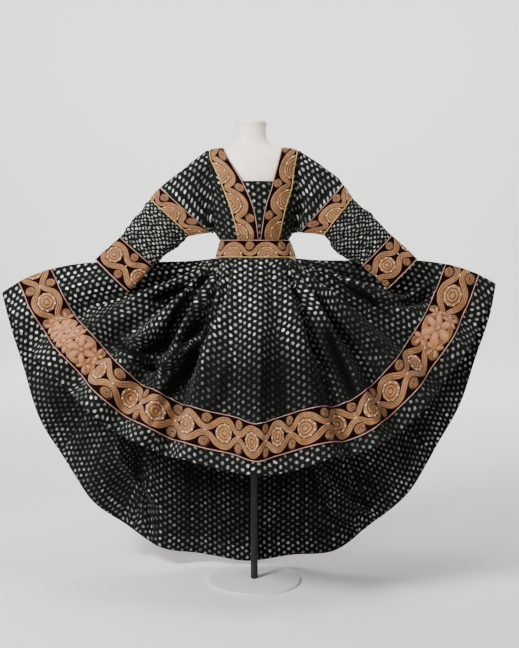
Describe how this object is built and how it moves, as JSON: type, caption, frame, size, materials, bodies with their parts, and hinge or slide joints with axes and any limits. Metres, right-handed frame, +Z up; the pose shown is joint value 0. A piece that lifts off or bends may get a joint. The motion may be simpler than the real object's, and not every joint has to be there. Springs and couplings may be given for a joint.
{
  "type": "embroidered afghan dress on a dress form",
  "caption": "Long-sleeved afghan bridal dress with embroidered borders, raised in front and long behind, spread wide on a limbless dress form with a pole and round base.",
  "frame": {"origin": "middle of the stand's round base, on its underside", "axes": "+Z up, -Y out of the front of the dress, +X towards the wearer's left"},
  "size_m": [1.7205, 0.5872, 1.619],
  "materials": {
    "dotted_georgette": "near-black green crepe georgette with small silver foil dots",
    "gold_embroidery": "gold thread scrolls and medallions on wine-black velvet, piped edges",
    "form_shell": "smooth ivory shell, low sheen",
    "pole_paint": "matte black",
    "base_paint": "satin off-white"
  },
  "bodies": {
    "root": {"form_torso": "form_shell", "form_pole": "pole_paint", "form_base": "base_paint", "bodice_back": "dotted_georgette", "bodice_front_right": "dotted_georgette", "bodice_front_left": "dotted_georgette", "neck_insert": "dotted_georgette", "neck_border_right": "gold_embroidery", "neck_border_left": "gold_embroidery", "waistband": "gold_embroidery", "sleeve_upper_right": "dotted_georgette", "sleeve_upper_left": "dotted_georgette", "sleeve_band_right": "gold_embroidery", "sleeve_band_left": "gold_embroidery", "sleeve_lower_right": "dotted_georgette", "sleeve_lower_left": "dotted_georgette", "cuff_right": "gold_embroidery", "cuff_left": "gold_embroidery", "skirt_front": "dotted_georgette", "skirt_back": "dotted_georgette", "skirt_border_front": "gold_embroidery", "skirt_border_back": "gold_embroidery"}
  },
  "joints": []
}
